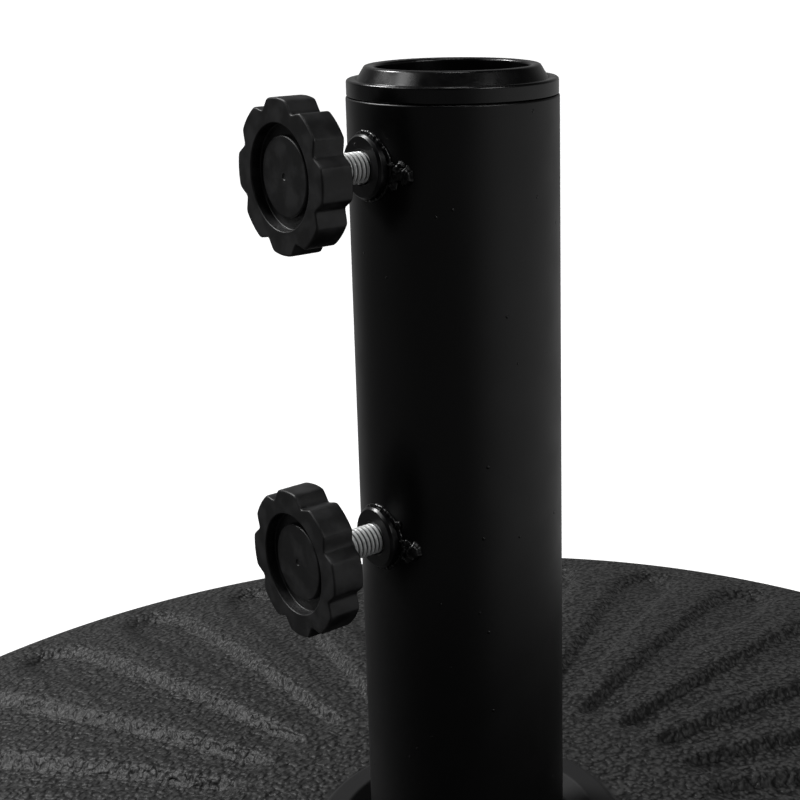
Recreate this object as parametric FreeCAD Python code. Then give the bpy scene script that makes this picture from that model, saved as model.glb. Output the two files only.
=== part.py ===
"""Round patio parasol base: a concrete-filled moulded base with an upright steel pole tube.

Millimetres, +Z up. The origin is on the floor, on the tube's axis. The two clamp screws
stand out of the tube towards -X.
"""
import FreeCAD
import Part
import math
import os

V = FreeCAD.Vector
UP = V(0, 0, 1)
OUT = V(-1, 0, 0)

# --- base shell -----------------------------------------------------------------------
BASE_RADIUS = 250.0
FOOT_HEIGHT = 3.0            # rubber feet standing out below the base
RIM_HEIGHT = 31.0            # skirt, from its lower edge up to the rim
RIM_ROUND = 4.0
DOME_RISE = 25.6             # rim up to the foot of the collar
DOME_BULGE = 3.8             # how far the dome's arc stands above the straight line
FLUTE_DEPTH = 3.0
FLUTE_FLOOR = 2.5            # wall left under a flute
FLUTE_COUNT = 32
FLUTE_PHASE = 8.55           # degrees, first flute from +X
FLUTE_START_MARGIN = 32.0    # plain band between the collar and the flutes
FLUTE_RIM_MARGIN = 9.0       # plain band between a flute's end and the rim
FLUTE_SHARE = 0.52           # flute width as a share of the pitch
SKIRT_WALL = 5.5

# --- collar and tube well -------------------------------------------------------------
COLLAR_BAND = 7.0            # flat top of the collar, outside the funnel
COLLAR_HEIGHT = 2.5
COLLAR_ROUND = 1.5
THROAT_GAP = 5.5             # throat of the funnel, clear of the tube
MOUTH_WIDTH = 4.0            # chamfer from the throat out to the flat top
MOUTH_DEPTH = 4.0
WELL_WALL = 3.0
WELL_FLOOR = 4.0
WELL_CLEARANCE = 0.2         # tube in the well, radial
WELL_GRIP = 26.0             # straight length that holds the tube
THROAT_DEPTH = 12.0          # taper from the throat down to the straight part
CORE_GAP = 0.3               # concrete shrinks away from the shell

# --- pole tube ------------------------------------------------------------------------
TUBE_RADIUS = 27.5
TUBE_WALL = 1.5
TUBE_TOP = 271.6             # height of the tube's upper edge above the floor
END_PLATE = 3.0

# --- anchor bolt, M10 -----------------------------------------------------------------
BOLT_RADIUS = 5.0
BOLT_HEAD_FLATS = 17.0
BOLT_HEAD_HEIGHT = 6.4
BOLT_HOLE_CLEARANCE = 0.5
BOLT_PAST_NUT = 1.6
NUT_CLEARANCE = 0.05
END_NUT_HEIGHT = 8.4
WASHER_RADIUS = 14.0
WASHER_THICKNESS = 2.0
SPRING_WASHER_RADIUS = 8.8
SPRING_WASHER_THICKNESS = 2.2
SPRING_WASHER_SLOT = 1.5
HEAD_ABOVE_PAN_FACE = 0.4    # bolt head kept inside the base

# --- base pan, feet and pan screws ----------------------------------------------------
PAN_THICKNESS = 3.0
PAN_CLEARANCE = 0.3
PAN_HOLE_CLEARANCE = 3.0     # round the anchor washer, for a socket
FASTENING_COUNT = 6
FOOT_RADIUS = 16.0
FOOT_INSET = 45.0            # from the rim in to the feet
FOOT_STEM_RADIUS = 4.0
FOOT_STEM_CLEARANCE = 0.1
PAN_SCREW_RADIUS = 2.0
PAN_SCREW_HEAD = 4.0
PAN_SCREW_LENGTH = 14.0
PAN_SCREW_INSET = 18.0       # from the rim in to the screws
PAN_SCREW_CLEARANCE = 0.15
BOSS_RADIUS = 6.0

# --- clamp screws, M8, and their weld nuts ---------------------------------------------
SCREW_DROP = {"upper": 15.9, "lower": 113.85}  # axis below the tube's upper edge
SCREW_BACKED_OFF = {"upper": 0.0, "lower": 1.25}   # further out by one turn of the M8 thread
SCREW_RADIUS = 4.0
SCREW_TIP_INSET = 3.0        # screw's tip inside the tube's outer face
SCREW_TIP_CHAMFER = 1.0
THREAD_CLEARANCE = 0.05
WELD_NUT_RADIUS = 8.2
WELD_NUT_FLANGE = 1.8
WELD_NUT_CHAMFER = 0.6
WELD_NUT_PILOT = 6.0
PILOT_CLEARANCE = 0.1
WELD_WIDTH = 1.6             # leg of the weld on the tube
WELD_RUN_LENGTH = 7.0        # stretch where the weld ran on along the tube
WELD_BLOB_RADIUS = 2.3
WELD_TOE = 0.1                # weld left standing at its outer edge
WELD_WALL_MARGIN = 1.0        # bead drawn this far inside the wall, then cut to the tube

# --- knobs ----------------------------------------------------------------------------
KNOB_STANDOFF = 16.5         # tube's outer face to the knob's rear face
KNOB_THICKNESS = 8.6
KNOB_RADIUS = 19.0
KNOB_LOBES = 8
KNOB_NOTCH_DEPTH = 2.2
KNOB_NOTCH_RADIUS = 3.2
KNOB_EDGE = 0.6
KNOB_TURN = {"upper": 22.5, "lower": 28.0}     # where the first notch stands, degrees
SCREW_END_GAP = 0.5          # end of the screw to the cap's spigot
RECESS_RADIUS = 13.0
RECESS_DEPTH = 2.8
CAP_RADIUS = 9.9
CAP_SUNK = 1.5               # cap's face below the knob's face
CAP_CHAMFER = 0.4
CAP_SPIGOT_RADIUS = 6.0
CAP_SPIGOT_LENGTH = 0.8
CAP_SPIGOT_CLEARANCE = 0.05

# --- reducer ring ---------------------------------------------------------------------
POLE_BORE_RADIUS = 20.0
RING_SEAT_GAP = 0.2
RING_FLANGE_INSET = 0.2      # flange inside the tube's outline
RING_FLANGE_HEIGHT = 4.2
RING_EDGE_ROUND = 1.0
RING_BEVEL_RUN = 2.5
RING_BEVEL_HEIGHT = 3.4
RING_LIP = 2.0               # bore to the crest of the lip
RING_CREST_ROUND = 0.8
RING_LIP_ROUND = 1.0
RING_SPIGOT_LENGTH = 8.5
RING_SPIGOT_CLEARANCE = 0.3

# --- derived places -------------------------------------------------------------------
THROAT_RADIUS = TUBE_RADIUS + THROAT_GAP
MOUTH_RADIUS = THROAT_RADIUS + MOUTH_WIDTH
COLLAR_RADIUS = MOUTH_RADIUS + COLLAR_BAND
FLUTE_START_RADIUS = COLLAR_RADIUS + FLUTE_START_MARGIN
FOOT_CIRCLE = BASE_RADIUS - FOOT_INSET
SKIRT_FOOT = FOOT_HEIGHT
PAN_TOP = SKIRT_FOOT + PAN_THICKNESS
RIM_TOP = SKIRT_FOOT + RIM_HEIGHT
COLLAR_FOOT = RIM_TOP + DOME_RISE
COLLAR_TOP = COLLAR_FOOT + COLLAR_HEIGHT
DOME_RUN = BASE_RADIUS - COLLAR_RADIUS
DOME_CHORD = math.hypot(DOME_RUN, DOME_RISE)
DOME_ARC = DOME_CHORD ** 2 / (8 * DOME_BULGE) + DOME_BULGE / 2
DOME_CENTRE_RADIUS = (BASE_RADIUS + COLLAR_RADIUS) / 2 - (DOME_ARC - DOME_BULGE) * DOME_RISE / DOME_CHORD
DOME_CENTRE_HEIGHT = (RIM_TOP + COLLAR_FOOT) / 2 - (DOME_ARC - DOME_BULGE) * DOME_RUN / DOME_CHORD
SHELL_WALL = FLUTE_DEPTH + FLUTE_FLOOR
BOLT_HEAD_TOP = SKIRT_FOOT + HEAD_ABOVE_PAN_FACE + BOLT_HEAD_HEIGHT
WASHER_BOTTOM = BOLT_HEAD_TOP + SPRING_WASHER_THICKNESS
WELL_BOTTOM = WASHER_BOTTOM + WASHER_THICKNESS
WELL_SEAT = WELL_BOTTOM + WELL_FLOOR
TUBE_BOTTOM = WELL_SEAT + END_PLATE
WELL_RADIUS = TUBE_RADIUS + WELL_CLEARANCE
WELL_OUTER = WELL_RADIUS + WELL_WALL
BOLT_HOLE_RADIUS = BOLT_RADIUS + BOLT_HOLE_CLEARANCE
NUT_HOLE_RADIUS = BOLT_RADIUS + NUT_CLEARANCE
TUBE_BORE = TUBE_RADIUS - TUBE_WALL
PAN_RADIUS = BASE_RADIUS - SKIRT_WALL - PAN_CLEARANCE
PAN_SCREW_CIRCLE = BASE_RADIUS - PAN_SCREW_INSET
SCREW_HOLE_RADIUS = SCREW_RADIUS + THREAD_CLEARANCE
PILOT_HOLE_RADIUS = WELD_NUT_PILOT + PILOT_CLEARANCE
WELD_NUT_FACE = TUBE_RADIUS + WELD_NUT_FLANGE
SCREW_TIP = TUBE_RADIUS - SCREW_TIP_INSET
KNOB_REAR = TUBE_RADIUS + KNOB_STANDOFF
KNOB_FACE = KNOB_REAR + KNOB_THICKNESS
RECESS_FLOOR = KNOB_FACE - RECESS_DEPTH
CAP_FACE = KNOB_FACE - CAP_SUNK
SPIGOT_FLOOR = RECESS_FLOOR - CAP_SPIGOT_LENGTH
SPIGOT_HOLE_RADIUS = CAP_SPIGOT_RADIUS + CAP_SPIGOT_CLEARANCE
SCREW_END = SPIGOT_FLOOR - SCREW_END_GAP
RING_FOOT = TUBE_TOP + RING_SEAT_GAP
RING_CREST_RADIUS = POLE_BORE_RADIUS + RING_LIP
THROAT_TOP = COLLAR_TOP - MOUTH_DEPTH
THROAT_END = max(THROAT_TOP - THROAT_DEPTH, WELL_SEAT + WELL_GRIP)
THROAT_OUTER = THROAT_RADIUS + WELL_WALL
SKIRT_INSIDE = BASE_RADIUS - SKIRT_WALL
PILOT_BORE_RADIUS = PAN_SCREW_RADIUS + PAN_SCREW_CLEARANCE
FASTENING_STEP = 360.0 / FASTENING_COUNT


def dome(radius, inset=0.0):
    """Outline point of the dome's arc at a radius, or of its parallel arc this far inside."""
    reach = radius - DOME_CENTRE_RADIUS
    return radius, DOME_CENTRE_HEIGHT + math.sqrt((DOME_ARC - inset) ** 2 - reach ** 2)


def turn(points, arcs=()):
    """Solid of revolution about +Z from a closed outline of (radius, height) points.

    arcs names the runs, by the index of their first point, that follow the dome at an inset.
    """
    edges = []
    for i, (start, end) in enumerate(zip(points, points[1:] + points[:1])):
        ends = V(start[0], 0, start[1]), V(end[0], 0, end[1])
        if i in arcs:
            middle_radius, middle_height = dome((start[0] + end[0]) / 2, arcs[i])
            edges.append(Part.Arc(ends[0], V(middle_radius, 0, middle_height), ends[1]).toShape())
        else:
            edges.append(Part.LineSegment(*ends).toShape())
    return Part.Face(Part.Wire(edges)).revolve(V(0, 0, 0), UP, 360)


def turn_along_screw(points, height):
    """Solid of revolution about a clamp screw's axis from (distance out, radius) points."""
    outline = [V(-out, 0, height + r) for out, r in points + points[:1]]
    return Part.Face(Part.makePolygon(outline)).revolve(V(0, 0, height), OUT, 360)


def rod(radius, length, start, direction=UP):
    return Part.makeCylinder(radius, length, start, direction)


def tube_between(inner, outer, bottom, top):
    body = rod(outer, top - bottom, V(0, 0, bottom))
    return body.cut(rod(inner, top - bottom, V(0, 0, bottom)))


def hexagon(flats, height, bottom):
    corner = flats / math.sqrt(3)
    points = [V(corner * math.cos(math.radians(60 * i)), corner * math.sin(math.radians(60 * i)), bottom)
              for i in range(7)]
    return Part.Face(Part.makePolygon(points)).extrude(V(0, 0, height))


def around(circle, phase=0.0):
    """Points on a fastening circle, one per fastening."""
    return [V(circle * math.cos(math.radians(phase + FASTENING_STEP * i)),
              circle * math.sin(math.radians(phase + FASTENING_STEP * i)), 0)
            for i in range(FASTENING_COUNT)]


def round_ring(shape, radius, height, fillet):
    """Round the circular edge of this radius about Z that lies at this height."""
    near = 0.001
    edges = [edge for edge in shape.Edges
             if isinstance(edge.Curve, Part.Circle)
             and abs(edge.Curve.Radius - radius) < near
             and abs(edge.Curve.Center.z - height) < near]
    return shape.makeFillet(fillet, edges)


# --- base shell -----------------------------------------------------------------------

def flute_cutter():
    """One flute along +X: its floor follows the dome, and it widens with the pitch."""
    start = FLUTE_START_RADIUS
    end = BASE_RADIUS - FLUTE_RIM_MARGIN
    spread = math.tan(math.pi / FLUTE_COUNT) * FLUTE_SHARE
    ring = turn([
        dome(end, FLUTE_DEPTH),
        dome(start, FLUTE_DEPTH),
        (start, COLLAR_TOP),
        (end, COLLAR_TOP),
    ], {0: FLUTE_DEPTH})
    plan = [V(0, 0, 0), V(end, -end * spread, 0), V(end + FLUTE_DEPTH, 0, 0), V(end, end * spread, 0), V(0, 0, 0)]
    return Part.Face(Part.makePolygon(plan)).extrude(V(0, 0, COLLAR_TOP + FLUTE_DEPTH)).common(ring)


def base_shell():
    """Skirt, fluted dome, collar with its funnel, well for the tube and bosses for the pan screws."""
    body = turn([
        (BASE_RADIUS, SKIRT_FOOT),
        (BASE_RADIUS, RIM_TOP),
        (COLLAR_RADIUS, COLLAR_FOOT),
        (COLLAR_RADIUS, COLLAR_TOP),
        (MOUTH_RADIUS, COLLAR_TOP),
        (THROAT_RADIUS, THROAT_TOP),
        (WELL_RADIUS, THROAT_END),
        (WELL_RADIUS, WELL_SEAT),
        (BOLT_HOLE_RADIUS, WELL_SEAT),
        (BOLT_HOLE_RADIUS, WELL_BOTTOM),
        (WELL_OUTER, WELL_BOTTOM),
        (WELL_OUTER, THROAT_END - WELL_WALL),
        dome(THROAT_OUTER, SHELL_WALL),
        dome(SKIRT_INSIDE, SHELL_WALL),
        (SKIRT_INSIDE, SKIRT_FOOT),
    ], {1: 0.0, 12: SHELL_WALL})
    body = round_ring(body, BASE_RADIUS, RIM_TOP, RIM_ROUND)
    body = round_ring(body, COLLAR_RADIUS, COLLAR_TOP, COLLAR_ROUND)
    first = flute_cutter()
    first.rotate(V(0, 0, 0), UP, FLUTE_PHASE)
    for i in range(FLUTE_COUNT):
        flute = first.copy()
        flute.rotate(V(0, 0, 0), UP, i * 360.0 / FLUTE_COUNT)
        body = body.cut(flute)
    boss_top = dome(PAN_SCREW_CIRCLE, SHELL_WALL)[1]
    for place in around(PAN_SCREW_CIRCLE, FASTENING_STEP / 2):
        body = body.fuse(rod(BOSS_RADIUS, boss_top + FLUTE_FLOOR / 2 - PAN_TOP, place + V(0, 0, PAN_TOP)))
    for place in around(PAN_SCREW_CIRCLE, FASTENING_STEP / 2):
        body = body.cut(rod(PILOT_BORE_RADIUS, PAN_SCREW_LENGTH, place + V(0, 0, PAN_TOP - 1)))
    return body


def concrete_core():
    """Concrete that fills the shell, round the well and the screw bosses, down to the pan."""
    body = turn([
        (WELL_OUTER + CORE_GAP, PAN_TOP),
        (SKIRT_INSIDE - CORE_GAP, PAN_TOP),
        dome(SKIRT_INSIDE - CORE_GAP, SHELL_WALL + CORE_GAP),
        dome(THROAT_OUTER + CORE_GAP, SHELL_WALL + CORE_GAP),
        (WELL_OUTER + CORE_GAP, THROAT_END - WELL_WALL - CORE_GAP),
    ], {2: SHELL_WALL + CORE_GAP})
    for place in around(PAN_SCREW_CIRCLE, FASTENING_STEP / 2):
        body = body.cut(rod(BOSS_RADIUS + CORE_GAP, COLLAR_TOP, place))
    return body


# --- pan, feet and screws ---------------------------------------------------------------

def base_pan():
    """Cover under the concrete, with a hole for the anchor bolt and holes for feet and screws."""
    body = tube_between(WASHER_RADIUS + PAN_HOLE_CLEARANCE, PAN_RADIUS, SKIRT_FOOT, PAN_TOP)
    for place in around(FOOT_CIRCLE):
        body = body.cut(rod(FOOT_STEM_RADIUS + FOOT_STEM_CLEARANCE, PAN_TOP, place))
    for place in around(PAN_SCREW_CIRCLE, FASTENING_STEP / 2):
        body = body.cut(rod(PILOT_BORE_RADIUS, PAN_TOP, place))
        body = body.cut(screw_head(place, PAN_SCREW_CLEARANCE))
    return body


def screw_head(place, extra=0.0):
    """Countersunk head, flush with the pan's lower face."""
    height = PAN_SCREW_HEAD - PAN_SCREW_RADIUS
    return Part.makeCone(PAN_SCREW_HEAD + extra, PAN_SCREW_RADIUS + extra, height, place + V(0, 0, SKIRT_FOOT))


def pan_screws():
    screws = []
    for place in around(PAN_SCREW_CIRCLE, FASTENING_STEP / 2):
        shank = rod(PAN_SCREW_RADIUS, PAN_SCREW_LENGTH, place + V(0, 0, SKIRT_FOOT))
        screws.append(shank.fuse(screw_head(place)))
    return Part.Compound(screws)


def rubber_feet():
    feet = []
    for place in around(FOOT_CIRCLE):
        pad = rod(FOOT_RADIUS, FOOT_HEIGHT, place)
        feet.append(pad.fuse(rod(FOOT_STEM_RADIUS, PAN_TOP, place)))
    return Part.Compound(feet)


# --- pole tube and its anchor -----------------------------------------------------------

def pole_tube():
    """Steel tube with a hole for each weld nut's pilot."""
    body = tube_between(TUBE_BORE, TUBE_RADIUS, TUBE_BOTTOM, TUBE_TOP)
    for drop in SCREW_DROP.values():
        body = body.cut(rod(PILOT_HOLE_RADIUS, 2 * TUBE_RADIUS, V(0, 0, TUBE_TOP - drop), OUT))
    return body


def tube_end_plate():
    return tube_between(BOLT_HOLE_RADIUS, TUBE_RADIUS, WELL_SEAT, TUBE_BOTTOM)


def tube_end_nut():
    """Nut welded on the end plate, inside the tube."""
    body = hexagon(BOLT_HEAD_FLATS, END_NUT_HEIGHT, TUBE_BOTTOM)
    return body.cut(rod(NUT_HOLE_RADIUS, END_NUT_HEIGHT, V(0, 0, TUBE_BOTTOM)))


def anchor_bolt():
    head = hexagon(BOLT_HEAD_FLATS, BOLT_HEAD_HEIGHT, BOLT_HEAD_TOP - BOLT_HEAD_HEIGHT)
    shank_top = TUBE_BOTTOM + END_NUT_HEIGHT + BOLT_PAST_NUT
    return head.fuse(rod(BOLT_RADIUS, shank_top - BOLT_HEAD_TOP, V(0, 0, BOLT_HEAD_TOP)))


def anchor_spring_washer():
    """Split washer, slotted towards +X."""
    body = tube_between(BOLT_HOLE_RADIUS, SPRING_WASHER_RADIUS, BOLT_HEAD_TOP, WASHER_BOTTOM)
    slot = Part.makeBox(SPRING_WASHER_RADIUS, SPRING_WASHER_SLOT, SPRING_WASHER_THICKNESS,
                        V(0, -SPRING_WASHER_SLOT / 2, BOLT_HEAD_TOP))
    return body.cut(slot)


def anchor_washer():
    return tube_between(BOLT_HOLE_RADIUS, WASHER_RADIUS, WASHER_BOTTOM, WELL_BOTTOM)


# --- clamp screws and weld nuts ---------------------------------------------------------

def weld_nut(height):
    """Round flange nut: its pilot sits in the tube's hole and its flange outside the tube."""
    return turn_along_screw([
        (TUBE_BORE, SCREW_HOLE_RADIUS),
        (TUBE_BORE, WELD_NUT_PILOT),
        (TUBE_RADIUS, WELD_NUT_PILOT),
        (TUBE_RADIUS, WELD_NUT_RADIUS),
        (WELD_NUT_FACE - WELD_NUT_CHAMFER, WELD_NUT_RADIUS),
        (WELD_NUT_FACE, WELD_NUT_RADIUS - WELD_NUT_CHAMFER),
        (WELD_NUT_FACE, SCREW_HOLE_RADIUS),
    ], height)


def weld_bead(height):
    """Weld round the nut, with two blobs where it ran on along the tube towards -Y."""
    foot = WELD_NUT_RADIUS + WELD_WIDTH
    throat = TUBE_RADIUS + WELD_NUT_FLANGE / 2
    bead = turn_along_screw([
        (TUBE_BORE - WELD_WALL_MARGIN, WELD_NUT_RADIUS),
        (TUBE_BORE - WELD_WALL_MARGIN, foot),
        (TUBE_RADIUS + WELD_TOE, foot),
        (throat, WELD_NUT_RADIUS),
    ], height)
    for reach, drop in ((WELD_WIDTH / 2, 0.0), (WELD_RUN_LENGTH - WELD_BLOB_RADIUS, WELD_BLOB_RADIUS / 2)):
        side = WELD_NUT_RADIUS + reach
        surface = math.sqrt(TUBE_RADIUS ** 2 - side ** 2)
        bead = bead.fuse(Part.makeSphere(WELD_BLOB_RADIUS, V(-surface, -side, height - drop)))
    bead = bead.cut(rod(TUBE_RADIUS, TUBE_TOP, V(0, 0, 0)))
    return bead.cut(rod(WELD_NUT_RADIUS, KNOB_REAR, V(0, 0, height), OUT))


def clamp_screw(height):
    return turn_along_screw([
        (SCREW_TIP, 0),
        (SCREW_TIP, SCREW_RADIUS - SCREW_TIP_CHAMFER),
        (SCREW_TIP + SCREW_TIP_CHAMFER, SCREW_RADIUS),
        (SCREW_END, SCREW_RADIUS),
        (SCREW_END, 0),
    ], height)


# --- knobs ------------------------------------------------------------------------------

def knob(height, notch_angle):
    """Lobed disc, bored from behind for the screw and recessed in front for the cap."""
    body = turn_along_screw([
        (KNOB_REAR, SCREW_HOLE_RADIUS),
        (KNOB_REAR, KNOB_RADIUS - KNOB_EDGE),
        (KNOB_REAR + KNOB_EDGE, KNOB_RADIUS),
        (KNOB_FACE - KNOB_EDGE, KNOB_RADIUS),
        (KNOB_FACE, KNOB_RADIUS - KNOB_EDGE),
        (KNOB_FACE, RECESS_RADIUS),
        (RECESS_FLOOR, RECESS_RADIUS),
        (RECESS_FLOOR, SPIGOT_HOLE_RADIUS),
        (SPIGOT_FLOOR, SPIGOT_HOLE_RADIUS),
        (SPIGOT_FLOOR, SCREW_HOLE_RADIUS),
    ], height)
    notch_centre = KNOB_RADIUS - KNOB_NOTCH_DEPTH + KNOB_NOTCH_RADIUS
    for i in range(KNOB_LOBES):
        angle = math.radians(notch_angle + i * 360.0 / KNOB_LOBES)
        start = V(-KNOB_REAR, -notch_centre * math.cos(angle), height + notch_centre * math.sin(angle))
        body = body.cut(rod(KNOB_NOTCH_RADIUS, KNOB_THICKNESS, start, OUT))
    return body


def knob_cap(height):
    """Round cap in the recess, with a spigot pressed into the knob."""
    return turn_along_screw([
        (SPIGOT_FLOOR, 0),
        (SPIGOT_FLOOR, CAP_SPIGOT_RADIUS),
        (RECESS_FLOOR, CAP_SPIGOT_RADIUS),
        (RECESS_FLOOR, CAP_RADIUS),
        (CAP_FACE - CAP_CHAMFER, CAP_RADIUS),
        (CAP_FACE, CAP_RADIUS - CAP_CHAMFER),
        (CAP_FACE, 0),
    ], height)


# --- reducer ring -----------------------------------------------------------------------

def pole_ring():
    """Ring that narrows the tube to the pole: spigot, flange and a rounded bevelled lip."""
    flange_radius = TUBE_RADIUS - RING_FLANGE_INSET
    flange_top = RING_FOOT + RING_FLANGE_HEIGHT
    crest = flange_top + RING_BEVEL_HEIGHT
    spigot_radius = TUBE_BORE - RING_SPIGOT_CLEARANCE
    body = turn([
        (POLE_BORE_RADIUS, RING_FOOT - RING_SPIGOT_LENGTH),
        (spigot_radius, RING_FOOT - RING_SPIGOT_LENGTH),
        (spigot_radius, RING_FOOT),
        (flange_radius, RING_FOOT),
        (flange_radius, flange_top),
        (RING_CREST_RADIUS + RING_BEVEL_RUN, flange_top),
        (RING_CREST_RADIUS, crest),
        (POLE_BORE_RADIUS, crest),
    ])
    body = round_ring(body, flange_radius, flange_top, RING_EDGE_ROUND)
    body = round_ring(body, POLE_BORE_RADIUS, crest, RING_LIP_ROUND)
    return round_ring(body, RING_CREST_RADIUS, crest, RING_CREST_ROUND)


def write(name, shape):
    if not shape.isValid():
        raise ValueError(name + " is not a valid solid")
    shape.exportStep("parts/" + name + ".step")
    print(f"{name}: {len(shape.Solids)} solid(s), {shape.Volume / 1000:.2f} cm3")


def main():
    os.makedirs("parts", exist_ok=True)
    write("base_shell", base_shell())
    write("concrete_core", concrete_core())
    write("base_pan", base_pan())
    write("pan_screws", pan_screws())
    write("rubber_feet", rubber_feet())
    write("pole_tube", pole_tube())
    write("tube_end_plate", tube_end_plate())
    write("tube_end_nut", tube_end_nut())
    write("anchor_bolt", anchor_bolt())
    write("anchor_spring_washer", anchor_spring_washer())
    write("anchor_washer", anchor_washer())
    write("pole_ring", pole_ring())
    for which, drop in SCREW_DROP.items():
        height = TUBE_TOP - drop
        write(which + "_weld_nut", weld_nut(height))
        write(which + "_weld_bead", weld_bead(height))
        backed_off = OUT * SCREW_BACKED_OFF[which]
        write(which + "_clamp_screw", clamp_screw(height).translated(backed_off))
        write(which + "_knob", knob(height, KNOB_TURN[which]).translated(backed_off))
        write(which + "_knob_cap", knob_cap(height).translated(backed_off))


main()
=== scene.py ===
"""Looks for a round patio parasol base: fluted moulded base, steel pole tube, clamp screws, reducer ring."""
import math

import bpy
import numpy as np
from mathutils import Matrix, Vector


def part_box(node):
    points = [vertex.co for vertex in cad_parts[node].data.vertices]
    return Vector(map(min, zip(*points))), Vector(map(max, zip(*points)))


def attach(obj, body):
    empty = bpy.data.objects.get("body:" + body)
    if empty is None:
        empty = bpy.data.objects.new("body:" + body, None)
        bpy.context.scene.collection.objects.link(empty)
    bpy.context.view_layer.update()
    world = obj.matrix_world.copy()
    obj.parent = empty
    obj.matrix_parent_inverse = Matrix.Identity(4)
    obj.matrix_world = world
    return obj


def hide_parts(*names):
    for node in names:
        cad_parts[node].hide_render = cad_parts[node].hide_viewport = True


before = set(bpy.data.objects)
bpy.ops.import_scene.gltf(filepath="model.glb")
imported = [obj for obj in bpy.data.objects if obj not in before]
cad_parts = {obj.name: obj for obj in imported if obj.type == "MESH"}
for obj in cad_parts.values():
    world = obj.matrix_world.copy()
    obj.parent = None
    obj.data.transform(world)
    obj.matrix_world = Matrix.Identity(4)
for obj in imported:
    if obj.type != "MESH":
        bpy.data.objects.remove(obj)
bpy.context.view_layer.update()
MM = 0.001
TURN = 2 * math.pi


def extent(node):
    """Lowest and highest corner of a CAD node, in millimetres."""
    low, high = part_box(node)
    return np.array(low) / MM, np.array(high) / MM


def about_screw(node):
    """Where a node round a clamp screw starts and ends along it, the axis' height and the node's radius."""
    low, high = extent(node)
    return -high[0], -low[0], (high[2] + low[2]) / 2, (high[2] - low[2]) / 2


# --- sizes read from the frame, in millimetres ------------------------------------------
shell_low, shell_high = extent("base_shell")
tube_low, tube_high = extent("pole_tube")
ring_low, ring_high = extent("pole_ring")
BASE_RADIUS = shell_high[1]
SKIRT_FOOT = shell_low[2]
COLLAR_TOP = shell_high[2]
TUBE_RADIUS = tube_high[1]
TUBE_FOOT = tube_low[2]
TUBE_TOP = tube_high[2]
RING_FLANGE = ring_high[1]
RING_FOOT = ring_low[2]
RING_CREST = ring_high[2]

# --- sizes of the base ------------------------------------------------------------------
SHELL_WALL = 5.5
RIM_HEIGHT = 31.0
RIM_ROUND = 4.0
DOME_BULGE = 3.8
COLLAR_HEIGHT = 2.5
COLLAR_RADIUS = 44.0
COLLAR_FOOT = COLLAR_RADIUS + 0.6
COLLAR_CREST = COLLAR_RADIUS - 0.4
MOUTH_RADIUS = 37.0
MOUTH_DEPTH = 4.0
THROAT_RADIUS = 33.0
THROAT_DEPTH = 12.0
WELL_RADIUS = TUBE_RADIUS + 0.2
WELL_WALL = 3.0
WELL_FLOOR = 4.0
END_PLATE = 3.0
BOLT_HOLE = 5.5
INSIDE_RADII = (120.0, 190.0)  # points that bend the shell's inner side as the dome bends

# --- sizes of the flutes ----------------------------------------------------------------
FLUTES = 32
FLUTE_DEPTH = 3.0
FLUTE_PHASE = 8.55             # degrees, first flute from +X
FLUTE_SHARE = 0.52             # flute width as a share of the pitch
FLUTE_START = 72.0
START_RUN = 14.0               # length over which a flute gets its depth
FLUTE_END = BASE_RADIUS - 9.0
FLUTE_CORNER = 11.0
FLANK_AT_RIM = 9.0             # width of a flute's rounded flank, less nearer the middle
FLANK_INSIDE = 0.32            # share of the flank that lies inside the flute's plan
FLANK_CURL = 2.2               # higher is steeper at the floor and gentler at the crest
END_STEEPNESS = 0.5            # outer end of a flute against its flanks

# --- sizes of the tube and ring -----------------------------------------------------------
TUBE_WALL = 1.5
POLE_BORE = 20.0
SPIGOT_GAP = 0.3               # round the ring's spigot in the tube
FLANGE_GAP = 0.2               # between the tube's upper end and the ring's flange
FLANGE_HEIGHT = 4.2
LIP_FOOT = 24.7
LIP_SHOULDER = 22.6
LIP_CREST = 21.6

# --- sizes of the screws and weld nuts ----------------------------------------------------
THREAD_PITCH = 1.25
THREAD_DEPTH = 0.68
THREAD_FLAT = 0.12             # flats at crest and root, as a share of half the pitch
TIP_CHAMFER = 1.0
SCREW_BORE = 4.05
NUT_PILOT = 6.0
NUT_SINK = 1.4                 # flange's back behind the tube's skin
NUT_CHAMFER = 0.6
NUT_MOUTH = 0.65               # width of the chamfer round the bore
WELD_SIZE = 0.6
WELD_WAVES = {23: 0.10, 41: 0.07}  # ripples round the weld, and each one's share of its size
WELD_START = {"upper": 0.4, "lower": 1.7}
# lumps of weld beside the nut: out from its edge, up, half width, half height, thickness
WELD_LUMPS = {
    "upper": [(0.7, 1.1, 1.0, 0.9, 1.1), (3.1, -0.6, 2.3, 2.0, 1.5), (5.0, -1.4, 1.7, 2.6, 1.8),
              (3.6, 1.5, 1.1, 0.9, 1.3), (1.2, -3.0, 1.5, 2.2, 1.1)],
    "lower": [(0.5, 0.9, 0.9, 0.8, 1.0), (2.4, 0.9, 1.4, 1.1, 1.5), (4.1, -1.0, 2.2, 2.3, 1.8),
              (1.9, -2.2, 2.2, 2.4, 1.3), (-0.6, 5.2, 1.0, 1.2, 0.9)],
}

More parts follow.
